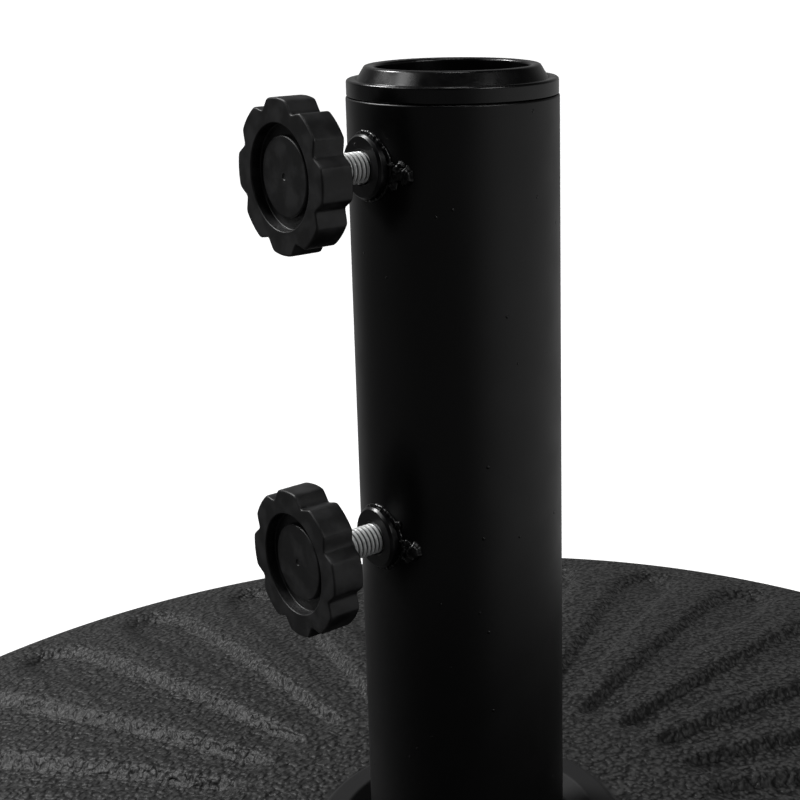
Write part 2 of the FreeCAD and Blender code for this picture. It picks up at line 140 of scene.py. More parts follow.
# --- sizes of the knobs -------------------------------------------------------------------
KNOB_LOBES = 8
KNOB_FIRST_NOTCH = {"upper": 22.5, "lower": 28.0}
NOTCH_DEPTH = 2.2
NOTCH_SLOPE = 0.85             # depth lost for each millimetre to the side
NOTCH_ROOT = 0.8               # rounding of the notch's root
NOTCH_SHOULDER = 0.06          # rounding of its shoulders, in square millimetres
NOTCH_CLEAR = 1.2              # notches start this far out from the recess
NOTCH_RUN = 3.6                # and reach full depth over this run
RECESS_RADIUS = 13.0
RECESS_DEPTH = 2.8
SPIGOT_BORE = 6.05
BORE_END = 0.01                # what is left between the screw's bore and the cap's
CAP_SPIGOT = 6.0
CAP_SEAT = 0.8                 # cap's flange above its back
GATE_RADIUS = 0.9
GATE_DEPTH = 0.2

# --- grids --------------------------------------------------------------------------------
ARC_STEPS = 5
RUN_MARGIN = 0.25              # from a straight run's ends to the points that keep it straight
# rings on the dome: first and last radius, and how many
DOME_RINGS = [(BASE_RADIUS - 6.0, BASE_RADIUS - 28.0, 20), (BASE_RADIUS - 31.0, 94.0, 36),
              (92.0, 70.0, 14), (66.0, 47.5, 6)]
FLUTE_COLUMNS = 22
COLUMN_SHIFT = 0.045           # of the pitch, away from the flanks, which softens their shading
TUBE_COLUMNS = 192
NUT_COLUMNS = 128
LOBE_COLUMNS = 40
CAP_COLUMNS = 96
SCREW_COLUMNS = 96
SCREW_STEP = 0.1
WELD_COLUMNS = (240, 16)       # along the weld and round it
LUMP_COLUMNS = (30, 48)        # from pole to pole and round

# --- sizes of the finishes, in millimetres --------------------------------------------------
PEBBLE = 1.6
PEBBLE_HEIGHT = 0.95
PEBBLE_DRIFT = 2.2             # how far the pebbles are pushed about
SMOOTH_EDGE = (COLLAR_RADIUS + 0.5, COLLAR_RADIUS + 4.0)  # radii between which the pebbles start
THREAD_ROOT_SHADE = (3.4, 3.7)        # radii between which the painted shade in a thread's roots ends

# --- view -------------------------------------------------------------------------------
HEADING = 40.8                 # degrees, from +Y towards +X
BEARING = 37.7
CAMERA_DISTANCE = 375.9
CAMERA_RISE = 38.0             # above the tube's upper edge
PITCH_DOWN = 12.9
ROLL = -0.48
LENS = 65.5
SHIFT = (-0.167, -0.156)

UP = Vector((0, 0, 1))
AWAY = Vector((math.sin(math.radians(BEARING)), math.cos(math.radians(BEARING)), 0))
RIGHT = AWAY.cross(UP)

# --- lights: metres to the right of, behind and above the base --------------------------
AIM_HEIGHT = 0.15
KEY_PLACE = (-0.64, 0.33, 0.85)
KEY_WIDTH = 14                 # degrees
KEY_STRENGTH = 2.25
# soft boxes: place, size in metres and power
SOFT_BOXES = {
    "left": ((-1.5, -0.35, 1.7), (0.5, 0.5), 3.8),
    "front": ((0.9, -0.9, 1.1), (0.6, 0.5), 4.0),
    "above": ((0.05, 0.0, 1.7), (0.35, 0.35), 2.0),
}
FLOOR_REACH = 30.0
FLOOR_GLOW = 0.6


# --- outlines ---------------------------------------------------------------------------

def smooth_step(value):
    """0 below 0, 1 above 1, and an S-shaped rise with level ends between them."""
    share = np.clip(value, 0.0, 1.0)
    return share * share * (3 - 2 * share)


def rounded(corners, closed=False):
    """Outline through corners (x, y, round).

    Each corner with a round becomes an arc tangent to both runs, as large as its round or as 0.45
    of the shorter run allows. Every run gets a point a little way in from each end, so that smooth
    shading keeps it straight.
    """
    corners = np.array(corners, dtype=float)
    count = len(corners)
    points = []
    for i in range(count):
        here, radius = corners[i, :2], corners[i, 2]
        if not closed and i in (0, count - 1):
            points.append(here)
            continue
        back = corners[i - 1, :2] - here
        ahead = corners[(i + 1) % count, :2] - here
        back_length, ahead_length = np.hypot(*back), np.hypot(*ahead)
        back, ahead = back / back_length, ahead / ahead_length
        half = math.acos(np.clip(np.dot(back, ahead), -1, 1)) / 2
        reach = min(radius / math.tan(half), 0.45 * back_length, 0.45 * ahead_length)
        radius = reach * math.tan(half)
        inset = min(RUN_MARGIN, 0.04 * min(back_length, ahead_length))
        points.append(here + back * (reach + inset))
        if radius > 0:
            middle = (back + ahead) / np.hypot(*(back + ahead)) * radius / math.sin(half)
            start = back * reach - middle
            sweep = math.pi - 2 * half
            side = np.sign(back[0] * ahead[1] - back[1] * ahead[0])
            for share in np.linspace(0, 1, ARC_STEPS + 1):
                angle = -side * sweep * share
                turned = [start[0] * math.cos(angle) - start[1] * math.sin(angle),
                          start[0] * math.sin(angle) + start[1] * math.cos(angle)]
                points.append(here + middle + turned)
        else:
            points.append(here)
        points.append(here + ahead * (reach + inset))
    return np.array(points)


# --- meshes -----------------------------------------------------------------------------

def closed_faces(rows, columns, loop):
    """Faces over a grid whose columns close into a ring.

    With loop, the last row joins the first. Otherwise a fan closes each end on one more vertex.
    """
    row, column = np.meshgrid(np.arange(rows if loop else rows - 1), np.arange(columns), indexing="ij")
    beside = (column + 1) % columns
    above = (row + 1) % rows
    quads = np.stack([row * columns + column, row * columns + beside,
                      above * columns + beside, above * columns + column], -1).reshape(-1, 4)
    if loop:
        return quads, np.zeros((0, 3), int)
    ring = np.arange(columns)
    following = (ring + 1) % columns
    low, high = rows * columns, rows * columns + 1
    top = (rows - 1) * columns
    fans = np.concatenate([np.stack([np.full(columns, low), following, ring], -1),
                           np.stack([np.full(columns, high), top + ring, top + following], -1)])
    return quads, fans


def outward(points, quads, fans):
    """Turns all the faces round when the volume that they enclose comes out negative."""
    triangles = np.concatenate([quads[:, [0, 1, 2]], quads[:, [0, 2, 3]], fans])
    a, b, c = (points[triangles[:, i]] for i in range(3))
    if np.einsum("ij,ij->i", a, np.cross(b, c)).sum() < 0:
        return quads[:, ::-1], fans[:, ::-1]
    return quads, fans


def piece(name, surfaces, body, node, finish):
    """One object from closed surfaces, each a grid of points [row, column, xyz] in mm and a loop flag."""
    vertices, all_quads, all_fans = [], [], []
    first = 0
    for grid, loop in surfaces:
        rows, columns = grid.shape[:2]
        points = grid.reshape(-1, 3)
        if not loop:
            points = np.concatenate([points, grid[:1].mean(1), grid[-1:].mean(1)])
        quads, fans = outward(points, *closed_faces(rows, columns, loop))
        vertices.append(points)
        all_quads.append(quads + first)
        all_fans.append(fans + first)
        first += len(points)
    quads, fans = np.concatenate(all_quads), np.concatenate(all_fans)
    mesh = bpy.data.meshes.new(name)
    mesh.vertices.add(first)
    mesh.vertices.foreach_set("co", (np.concatenate(vertices) * MM).ravel())
    mesh.loops.add(quads.size + fans.size)
    mesh.loops.foreach_set("vertex_index", np.concatenate([quads.ravel(), fans.ravel()]))
    totals = np.concatenate([np.full(len(quads), 4), np.full(len(fans), 3)])
    mesh.polygons.add(len(totals))
    mesh.polygons.foreach_set("loop_start", np.concatenate([[0], np.cumsum(totals)[:-1]]))
    mesh.polygons.foreach_set("loop_total", totals)
    mesh.polygons.foreach_set("use_smooth", np.ones(len(totals), bool))
    mesh.update(calc_edges=True)
    mesh.validate()
    made = bpy.data.objects.new(name, mesh)
    bpy.context.collection.objects.link(made)
    mesh.materials.append(finish)
    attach(made, body)
    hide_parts(node)
    return made


def around(columns):
    """Angles of the columns of a full turn."""
    return np.arange(columns) * TURN / columns


def turned_about_z(radius, angle, height):
    """Points at each radius, angle and height about +Z."""
    return np.stack([radius * np.cos(angle), radius * np.sin(angle), height + 0 * angle], -1)


def spin(outline, columns):
    """Surface of revolution about +Z from (radius, height) points."""
    return turned_about_z(outline[:, :1], around(columns), outline[:, 1:])


def on_screw(along, radius, angle, height):
    """Points about a clamp screw's axis, which leaves the tube's axis at this height towards -X."""
    return np.stack([-along + 0 * radius, -radius * np.cos(angle), height + radius * np.sin(angle)], -1)


def spin_on_screw(outline, columns, height):
    """Surface of revolution about a clamp screw's axis from (along, radius) points."""
    angle = around(columns)
    return on_screw(outline[:, :1], outline[:, 1:] + 0 * angle, angle, height)


# --- base -------------------------------------------------------------------------------

def dome_arc():
    """Radius and centre of the dome's arc, through the rim and the collar's foot."""
    run = BASE_RADIUS - COLLAR_RADIUS
    rise = COLLAR_TOP - COLLAR_HEIGHT - SKIRT_FOOT - RIM_HEIGHT
    chord = math.hypot(run, rise)
    arc = chord ** 2 / (8 * DOME_BULGE) + DOME_BULGE / 2
    centre_radius = (BASE_RADIUS + COLLAR_RADIUS) / 2 - (arc - DOME_BULGE) * rise / chord
    centre_height = SKIRT_FOOT + RIM_HEIGHT + rise / 2 - (arc - DOME_BULGE) * run / chord
    return arc, centre_radius, centre_height


def dome(radius, inset=0.0):
    """Height of the dome's arc at each radius, or of its parallel arc this far inside."""
    arc, centre_radius, centre_height = dome_arc()
    return centre_height + np.sqrt((arc - inset) ** 2 - (radius - centre_radius) ** 2)


def flute_depth(radius, angle):
    """Depth of the flutes at each radius and angle.

    A flute's plan is a strip with a rounded outer end, as wide as its share of the pitch. Depth
    falls from full to nothing across the flank, steeply at the floor and gently at the crest.
    The flank widens with the radius, as the flute does.
    """
    pitch = TURN / FLUTES
    phase = (angle - math.radians(FLUTE_PHASE)) / pitch + 0.5
    side = np.abs(phase - np.floor(phase) - 0.5) * pitch * radius
    half = FLUTE_SHARE * pitch * radius / 2
    corner = np.minimum(FLUTE_CORNER, half)
    flank = FLANK_AT_RIM * radius / BASE_RADIUS
    over_side = side - half + corner
    over_end = (radius - FLUTE_END) * END_STEEPNESS + flank / 2 + corner
    beyond = np.minimum(np.maximum(over_side, over_end), 0)
    distance = beyond + np.hypot(np.maximum(over_side, 0), np.maximum(over_end, 0)) - corner
    fall = 1 - (1 - np.clip(distance / flank + FLANK_INSIDE, 0, 1)) ** FLANK_CURL
    start = smooth_step((radius - FLUTE_START) / START_RUN)
    return FLUTE_DEPTH * (1 - smooth_step(fall)) * start


def base_shell(finish):
    """The base as one closed grid: skirt, fluted dome, collar, well and the inside of the shell.

    An outline is turned about Z, and the flutes' depth is taken off the dome's heights. The columns
    are moved away from the flanks by a sine wave with two periods to the pitch.
    """
    throat = COLLAR_TOP - MOUTH_DEPTH
    throat_end = throat - THROAT_DEPTH
    well_seat = TUBE_FOOT - END_PLATE
    well_foot = well_seat - WELL_FLOOR
    well_outside = WELL_RADIUS + WELL_WALL
    skirt_inside = BASE_RADIUS - SHELL_WALL
    radii = np.concatenate([np.linspace(*rings) for rings in DOME_RINGS])
    outside = rounded([
        (skirt_inside, SKIRT_FOOT, 0),
        (BASE_RADIUS, SKIRT_FOOT, 0.8),
        (BASE_RADIUS, dome(BASE_RADIUS), RIM_ROUND),
        (radii[0], dome(radii[0]), 0),
    ])
    mouth = rounded([
        (radii[-1], dome(radii[-1]), 0),
        (COLLAR_FOOT, dome(COLLAR_FOOT), 1.6),
        (COLLAR_CREST, COLLAR_TOP, 1.6),
        (MOUTH_RADIUS, COLLAR_TOP, 1.2),
        (THROAT_RADIUS, throat, 1.5),
        (WELL_RADIUS, throat_end, 2.0),
        (WELL_RADIUS, well_seat, 0),
    ])
    # these corners are out of sight, so they stay plain
    hidden = [
        (BOLT_HOLE, well_seat),
        (BOLT_HOLE, well_foot),
        (well_outside, well_foot),
        (well_outside, throat_end - WELL_WALL),
        *((radius, dome(radius, SHELL_WALL))
          for radius in (THROAT_RADIUS + WELL_WALL, *INSIDE_RADII, skirt_inside)),
    ]
    outline = np.concatenate([outside[:-1], np.column_stack([radii, dome(radii)]), mouth[1:], hidden])
    even = np.arange(FLUTES * FLUTE_COLUMNS) / FLUTE_COLUMNS
    shifted = even - COLUMN_SHIFT * np.sin(2 * TURN * even)
    angle = shifted * TURN / FLUTES + math.radians(FLUTE_PHASE)
    radius = outline[:, :1] + 0 * angle
    height = outline[:, 1:] + 0 * angle
    first = len(outside) - 1
    top = slice(first, first + len(radii))
    height[top] -= flute_depth(radius[top], angle)
    grid = turned_about_z(radius, angle, height)
    return piece("fluted_base", [(grid, True)], "base", "base_shell", finish)


# --- tube and ring ------------------------------------------------------------------------

def pole_tube(finish):
    """Tube wall as a closed outline turned about Z, its cut ends slightly rounded."""
    bore = TUBE_RADIUS - TUBE_WALL
    outline = rounded([
        (TUBE_RADIUS, TUBE_FOOT, 0.2),
        (TUBE_RADIUS, TUBE_TOP, 0.45),
        (bore, TUBE_TOP, 0.3),
        (bore, TUBE_FOOT, 0.2),
    ], closed=True)
    return piece("steel_tube", [(spin(outline, TUBE_COLUMNS), True)], "base", "pole_tube", finish)


def pole_ring(finish):
    """Reducer ring: spigot, flange, a shallow groove and a rounded bevelled lip, turned about Z."""
    foot = TUBE_TOP + FLANGE_GAP
    spigot = TUBE_RADIUS - TUBE_WALL - SPIGOT_GAP
    flange_top = foot + FLANGE_HEIGHT
    outline = rounded([
        (POLE_BORE, RING_FOOT, 0.3),
        (spigot, RING_FOOT, 0.3),
        (spigot, foot, 0),
        (RING_FLANGE, foot, 0.35),
        (RING_FLANGE, flange_top, 0.7),
        (LIP_FOOT + 0.6, flange_top, 0.2),
        (LIP_FOOT + 0.3, flange_top - 0.35, 0.15),
        (LIP_FOOT, flange_top - 0.3, 0.2),
        (LIP_SHOULDER, RING_CREST - 0.15, 0.9),
        (LIP_CREST, RING_CREST, 0.6),
        (POLE_BORE, RING_CREST - 0.3, 0.7),
    ], closed=True)
    return piece("reducer_ring", [(spin(outline, TUBE_COLUMNS), True)], "ring", "pole_ring", finish)


# --- clamp screws -------------------------------------------------------------------------

def threaded_screw(which, finish):
    """Screw with a right-handed V thread and a chamfered tip.

    The radius falls from the crest by a smooth step of the distance from the crest's helix, and
    stays inside a cone at the tip.
    """
    tip, end, middle, crest = about_screw(which + "_clamp_screw")
    along = np.arange(tip, end, SCREW_STEP)[:, None]
    angle = around(SCREW_COLUMNS)
    phase = along / THREAD_PITCH - angle / TURN
    from_crest = np.abs(phase - np.floor(phase) - 0.5) * 2
    radius = crest - THREAD_DEPTH * smooth_step((from_crest - THREAD_FLAT) / (1 - 2 * THREAD_FLAT))
    radius = np.minimum(radius, crest - TIP_CHAMFER + along - tip)
    grid = on_screw(along, radius, angle, middle)
    return piece(which + "_stud", [(grid, False)], which + "_screw", which + "_clamp_screw", finish)


def weld_nut(which, finish):
    """Round flange nut with a softened, chamfered face and a pilot in the tube's wall."""
    back, face, middle, radius = about_screw(which + "_weld_nut")
    flange_back = TUBE_RADIUS - NUT_SINK
    outline = rounded([
        (back, SCREW_BORE, 0.1),
        (back, NUT_PILOT, 0.1),
        (flange_back, NUT_PILOT, 0),
        (flange_back, radius, 0.15),
        (face - 0.7, radius, 0.3),
        (face, radius - NUT_CHAMFER, 0.3),
        (face, SCREW_BORE + NUT_MOUTH, 0.15),
        (face - 0.5, SCREW_BORE, 0.1),
    ], closed=True)
    surface = spin_on_screw(outline, NUT_COLUMNS, middle)
    return piece(which + "_nut", [(surface, True)], "base", which + "_weld_nut", finish)


def on_tube(side, rise, out, height):
    """Points on the tube's skin: side is measured round the tube towards -Y, out from its surface."""
    angle = side / TUBE_RADIUS
    reach = TUBE_RADIUS + out
    return np.stack([-reach * np.cos(angle), -reach * np.sin(angle), height + rise], -1)


def weld_bead(which, finish):
    """Thin weld round the nut, its size rippling, and the lumps where it ran on round the tube.

    The ring is a tube of varying size along a circle laid on the tube's skin. Each lump is an
    ellipsoid, its radius rippled by low waves in both directions.
    """
    _, _, height, nut_radius = about_screw(which + "_weld_nut")
    start = WELD_START[which]
    along = around(WELD_COLUMNS[0])[:, None]
    across = around(WELD_COLUMNS[1])
    ripple = sum(share * np.sin(waves * along + (i + 1) * start)
                 for i, (waves, share) in enumerate(WELD_WAVES.items()))
    size = WELD_SIZE * (1 + ripple + 0.2 * np.cos(along - 0.4))
    path = nut_radius + 0.2 + 0.1 * np.sin(5 * along + start)
    radial = path + size * np.cos(across)
    out = 0.1 + size * 0.8 * np.sin(across)
    surfaces = [(on_tube(radial * np.cos(along), radial * np.sin(along), out, height), True)]
    polar = np.linspace(0, math.pi, LUMP_COLUMNS[0])[1:-1, None]
    azimuth = around(LUMP_COLUMNS[1])
    for i, (side, rise, wide, tall, thick) in enumerate(WELD_LUMPS[which]):
        waves = (np.sin(3 * azimuth + i + start) * np.sin(polar)
                 + np.sin(7 * azimuth + 2 * i) * np.sin(polar) ** 2)
        bumps = 1 + 0.07 * waves + 0.05 * np.sin(6 * polar + 2 * i)
        surfaces.append((on_tube(nut_radius + side + wide * bumps * np.sin(polar) * np.cos(azimuth),
                                 rise + tall * bumps * np.sin(polar) * np.sin(azimuth),
                                 thick * bumps * np.cos(polar), height), False))
    return piece(which + "_weld", surfaces, "base", which + "_weld_bead", finish)


# --- knobs --------------------------------------------------------------------------------

def notched(radius, angle, first_notch, outer):
    """Radius pushed in by eight V notches.

    A notch's depth falls evenly to both sides. Its root is rounded by a hyperbola, and so are its
    shoulders, where the depth reaches nothing. The depth fades out towards the recess.
    """
    step = TURN / KNOB_LOBES
    phase = (angle - math.radians(first_notch)) / step
    side = (phase - np.round(phase)) * step * outer
    wedge = NOTCH_DEPTH - NOTCH_SLOPE * (np.hypot(side, NOTCH_ROOT) - NOTCH_ROOT)
    depth = (wedge + np.sqrt(wedge ** 2 + NOTCH_SHOULDER)) / 2
    return radius - depth * smooth_step((radius - RECESS_RADIUS - NOTCH_CLEAR) / NOTCH_RUN)


def knob(which, finish):
    """Lobed knob: a turned outline with a recessed face and bores for screw and cap, then notched."""
    rear, face, _, outer = about_screw(which + "_knob")
    pocket, _, middle, _ = about_screw(which + "_knob_cap")
    floor_face = face - RECESS_DEPTH
    centre = 0.4
    outline = rounded([
        (pocket, centre, 0),
        (pocket, SCREW_BORE, 0),
        (rear, SCREW_BORE, 0.2),
        (rear, outer, 0.7),
        (face, outer, 0.55),
        (face, RECESS_RADIUS, 0.3),
        (floor_face, RECESS_RADIUS - 0.1, 0.3),
        (floor_face, SPIGOT_BORE, 0),
        (pocket + BORE_END, SPIGOT_BORE, 0),
        (pocket + BORE_END, centre, 0),
    ])
    angle = around(KNOB_LOBES * LOBE_COLUMNS)
    radius = notched(outline[:, 1:], angle, KNOB_FIRST_NOTCH[which], outer)
    surface = on_screw(outline[:, :1], radius, angle, middle)
    return piece(which + "_hand_knob", [(surface, False)], which + "_grip", which + "_knob", finish)


def knob_cap(which, finish):
    """Round cap in the recess with a softened edge and the small dimple left by its moulding gate."""
    back, face, middle, radius = about_screw(which + "_knob_cap")
    seat = back + CAP_SEAT
    centre = 0.3
    outline = rounded([
        (back, centre, 0),
        (back, CAP_SPIGOT, 0.1),
        (seat, CAP_SPIGOT, 0),
        (seat, radius, 0.1),
        (face, radius, 0.45),
        (face, GATE_RADIUS, 0.1),
        (face - GATE_DEPTH, GATE_RADIUS - 0.2, 0.1),
        (face - GATE_DEPTH, centre, 0),
    ])
    surface = spin_on_screw(outline, CAP_COLUMNS, middle)
    return piece(which + "_cap", [(surface, False)], which + "_grip", which + "_knob_cap", finish)


# --- materials ----------------------------------------------------------------------------

def linear(colour):
    """sRGB hex colour as a linear RGBA value."""
    parts = [int(colour[i:i + 2], 16) / 255 for i in (1, 3, 5)]
    return [c / 12.92 if c <= 0.04045 else ((c + 0.055) / 1.055) ** 2.4 for c in parts] + [1.0]


def cells_per_metre(size):
    """Texture scale that makes a pattern's cells this many millimetres across."""
    return 1 / (size * MM)


def add(tree, kind, inputs=None, output=0, **settings):
    """Adds a node and gives one of its outputs.

    Settings are the node's properties, and inputs are values, or sockets to link from. A Mix node
    has its numbers at inputs 2 and 3 and output 0, and its colours at inputs 6 and 7 and output 2.
    """
    made = tree.nodes.new("ShaderNode" + kind)
    for key, value in settings.items():
        setattr(made, key, value)
    for key, value in (inputs or {}).items():
        if isinstance(value, bpy.types.NodeSocket):
            tree.links.new(value, made.inputs[key])
        else:
            made.inputs[key].default_value = value
    return made.outputs[output]


def material(name, **shader):
    """A material with values on its shader, and the tree, shader and Object coordinates to build on."""
    made = bpy.data.materials.new(name)
    made.use_nodes = True
    tree = made.node_tree
    surface = tree.nodes["Principled BSDF"]
    for key, value in shader.items():
        surface.inputs[key.replace("_", " ")].default_value = value
    return made, tree, surface, add(tree, "TexCoord", output="Object")


def connect(surface, **outputs):
    """Links each output to the shader's input of that name."""
    for key, output in outputs.items():
        surface.id_data.links.new(output, surface.inputs[key.replace("_", " ")])


def pebbled_polyethylene():
    """Polyethylene shell moulded against an etched tool.

    The tool leaves rounded pebbles with narrow gaps between them, and a fine matt grain over
    both. The gaps are darkened with painted shade. The collar is left smooth.
    """
    made, tree, surface, place = material("moulded_polyethylene", IOR=1.51, Specular_IOR_Level=0.42)
    drift = add(tree, "TexNoise", {"Vector": place, "Scale": cells_per_metre(3.0), "Detail": 2.0}, "Color")
    moved = add(tree, "VectorMath", {0: drift, 1: [PEBBLE_DRIFT * MM] * 3, 2: place},
                operation="MULTIPLY_ADD")
    away = add(tree, "TexVoronoi", {"Vector": moved, "Scale": cells_per_metre(PEBBLE), "Randomness": 0.9},
               feature="SMOOTH_F1")
    sunk = add(tree, "Math", {0: away, 1: away}, operation="MULTIPLY")
    swell = add(tree, "TexNoise", {"Vector": place, "Scale": cells_per_metre(2.6), "Detail": 1.0})
    height = add(tree, "Math", {0: sunk, 1: -1.0, 2: swell}, operation="MULTIPLY_ADD")
    grain = add(tree, "TexNoise", {"Vector": place, "Scale": cells_per_metre(0.5), "Detail": 3.0})
    level = add(tree, "VectorMath", {0: place, 1: (1.0, 1.0, 0.0)}, operation="MULTIPLY")
    from_axis = add(tree, "VectorMath", {0: level}, "Value", operation="LENGTH")
    pebbled = add(tree, "MapRange", {"Value": from_axis, "From Min": SMOOTH_EDGE[0] * MM,
                                     "From Max": SMOOTH_EDGE[1] * MM}, interpolation_type="SMOOTHSTEP")
    pebble_bump = add(tree, "Bump", {"Strength": pebbled, "Distance": PEBBLE_HEIGHT * MM,
                                     "Height": height})
    grain_bump = add(tree, "Bump", {"Strength": 0.4, "Distance": 0.06 * MM, "Height": grain,
                                    "Normal": pebble_bump})
    blotch = add(tree, "TexNoise", {"Vector": place, "Scale": cells_per_metre(30.0), "Detail": 4.0})
    tone = add(tree, "Mix", {0: blotch, 6: linear("#313132"), 7: linear("#414140")}, 2, data_type="RGBA")
    # painted shade: the gaps between the pebbles are darkened
    painted_gap_shade = add(tree, "MapRange", {"Value": away, "From Min": 0.26, "From Max": 0.54},
               interpolation_type="SMOOTHSTEP")
    shaded = add(tree, "Mix", {0: painted_gap_shade, 6: tone, 7: linear("#0d0d0d")}, 2, data_type="RGBA")
    toned = add(tree, "Mix", {0: pebbled, 6: linear("#1c1c1d"), 7: shaded}, 2, data_type="RGBA")
    dull = add(tree, "MapRange", {"Value": grain, "From Min": 0.3, "From Max": 0.7, "To Min": 0.5,
                                  "To Max": 0.62}, interpolation_type="SMOOTHSTEP")
    roughness = add(tree, "Mix", {0: pebbled, 2: 0.7, 3: dull})
    connect(surface, Base_Color=toned, Roughness=roughness, Normal=grain_bump)
    return made


def powder_coated_steel(name, colour, roughness, peel=0.9):
    """Steel under black polyester powder coat, baked on.

    That leaves a satin skin with fine orange peel and, every few millimetres, a nib of dust.
    """
    made, tree, surface, place = material(name, Base_Color=linear(colour), IOR=1.5)
    waves = add(tree, "TexNoise", {"Vector": place, "Scale": cells_per_metre(peel), "Detail": 2.0})
    peel_bump = add(tree, "Bump", {"Strength": 0.25, "Distance": 0.04 * MM, "Height": waves})
    from_nib = add(tree, "TexVoronoi", {"Vector": place, "Scale": cells_per_metre(7.0)})
    nibs = add(tree, "MapRange", {"Value": from_nib, "From Min": 0.02, "From Max": 0.07, "To Min": 1.0,
                                  "To Max": 0.0}, interpolation_type="SMOOTHSTEP")
    nib_bump = add(tree, "Bump", {"Strength": 0.8, "Distance": 0.25 * MM, "Height": nibs,
                                  "Normal": peel_bump})
    patches = add(tree, "TexNoise", {"Vector": place, "Scale": cells_per_metre(12.0), "Detail": 3.0})
    dull = add(tree, "MapRange", {"Value": patches, "From Min": 0.3, "From Max": 0.7,
                                  "To Min": roughness - 0.03, "To Max": roughness + 0.03},
               interpolation_type="SMOOTHSTEP")
    connect(surface, Roughness=dull, Normal=nib_bump)
    return made


def moulded_plastic(name, colour, worn, roughness, texture, depth, **shader):
    """Injection-moulded plastic: the tool's fine grain shows as bump, and wear as a slight mottle.

    The grain's size and depth are in millimetres.
    """
    made, tree, surface, place = material(name, **shader)
    grain = add(tree, "TexNoise", {"Vector": place, "Scale": cells_per_metre(texture), "Detail": 3.0})
    bump = add(tree, "Bump", {"Strength": 0.4, "Distance": depth * MM, "Height": grain})
    mottle = add(tree, "TexNoise", {"Vector": place, "Scale": cells_per_metre(5.0), "Detail": 4.0})
    wear = add(tree, "MapRange", {"Value": mottle, "From Min": 0.38, "From Max": 0.68},
               interpolation_type="SMOOTHSTEP")
    tone = add(tree, "Mix", {0: wear, 6: linear(colour), 7: linear(worn)}, 2, data_type="RGBA")
    dull = add(tree, "MapRange", {"Value": mottle, "From Min": 0.3, "From Max": 0.7,
                                  "To Min": roughness - 0.04, "To Max": roughness + 0.05},
               interpolation_type="SMOOTHSTEP")
    connect(surface, Base_Color=tone, Roughness=dull, Normal=bump)
    return made


def zinc_plated_steel(name="zinc_plated_steel", axis=None):
    """Steel with bright zinc plating.

    Its near-white colour is mostly diffuse: a painted reflection that stands in for bright
    surroundings, with slight colour drift and fine marks. On a thread, whose axis is given as a
    height, the roots are darkened with painted shade.
    """
    made, tree, surface, place = material(name, Metallic=0.25)
    drift = add(tree, "TexNoise", {"Vector": place, "Scale": cells_per_metre(3.0), "Detail": 3.0})
    # painted reflection: a near-white, mostly diffuse tone stands in for the bright surroundings that zinc
    # would mirror
    plated_and_painted_light = add(tree, "Mix", {0: drift, 6: linear("#eef0f2"), 7: linear("#fafaf8")}, 2, data_type="RGBA")
    if axis is not None:
        # painted shade: the thread's roots, nearer its axis, are darkened
        across = add(tree, "VectorMath", {0: place, 1: (0.0, 1.0, 1.0), 2: (0.0, 0.0, -axis * MM)},
                     operation="MULTIPLY_ADD")
        from_axis = add(tree, "VectorMath", {0: across}, "Value", operation="LENGTH")
        crest = add(tree, "MapRange", {"Value": from_axis, "From Min": THREAD_ROOT_SHADE[0] * MM,
                                       "From Max": THREAD_ROOT_SHADE[1] * MM}, interpolation_type="SMOOTHSTEP")
        plated_and_painted_light = add(tree, "Mix", {0: crest, 6: linear("#3a3b3c"), 7: plated_and_painted_light}, 2, data_type="RGBA")
    marks = add(tree, "TexNoise", {"Vector": place, "Scale": cells_per_metre(0.35), "Detail": 2.0})
    bump = add(tree, "Bump", {"Strength": 0.1, "Distance": 0.01 * MM, "Height": marks})
    dull = add(tree, "MapRange", {"Value": marks, "From Min": 0.3, "From Max": 0.7, "To Min": 0.28,
                                  "To Max": 0.4}, interpolation_type="SMOOTHSTEP")
    connect(surface, Base_Color=plated_and_painted_light, Roughness=dull, Normal=bump)
    return made


def cast_concrete():
    """Concrete cast in the shell: pale cement, mottled and roughened by sand."""
    made, tree, surface, place = material("cast_concrete", Roughness=0.9)
    sand = add(tree, "TexNoise", {"Vector": place, "Scale": cells_per_metre(1.5), "Detail": 6.0})
    pale = add(tree, "MapRange", {"Value": sand, "From Min": 0.3, "From Max": 0.7},
               interpolation_type="SMOOTHSTEP")
    tone = add(tree, "Mix", {0: pale, 6: linear("#77736c"), 7: linear("#9d9991")}, 2, data_type="RGBA")
    bump = add(tree, "Bump", {"Strength": 0.6, "Distance": 0.3 * MM, "Height": sand})
    connect(surface, Base_Color=tone, Normal=bump)
    return made


# --- studio -------------------------------------------------------------------------------

def floor():
    """Plain pale floor that the light burns out to white. Its glow doesn't reach the black parts."""
    mesh = bpy.data.meshes.new("studio_floor")
    reach = FLOOR_REACH
    mesh.from_pydata([(-reach, -reach, 0), (reach, -reach, 0), (reach, reach, 0), (-reach, reach, 0)],
                     [], [(0, 1, 2, 3)])
    made = bpy.data.objects.new("studio_floor", mesh)
    bpy.context.collection.objects.link(made)
    paper = material("matt_white_paper", Base_Color=linear("#f4f4f4"), Roughness=0.9,
                     Emission_Color=linear("#ffffff"), Emission_Strength=FLOOR_GLOW)[0]
    mesh.materials.append(paper)
    made.visible_glossy = False
    made.visible_diffuse = False


def place_light(data, place):
    """Light at metres to the right of, behind and above the base, aimed at the tube."""
    made = bpy.data.objects.new(data.name, data)
    bpy.context.collection.objects.link(made)
    right, away, up = place
    spot = RIGHT * right + AWAY * away + UP * up
    made.location = spot
    made.rotation_euler = (spot - UP * AIM_HEIGHT).to_track_quat("Z", "Y").to_euler()


def key_light():
    """Even light from far off, wide enough for soft shadows."""
    data = bpy.data.lights.new("key", "SUN")
    data.angle = math.radians(KEY_WIDTH)
    data.energy = KEY_STRENGTH
    place_light(data, KEY_PLACE)


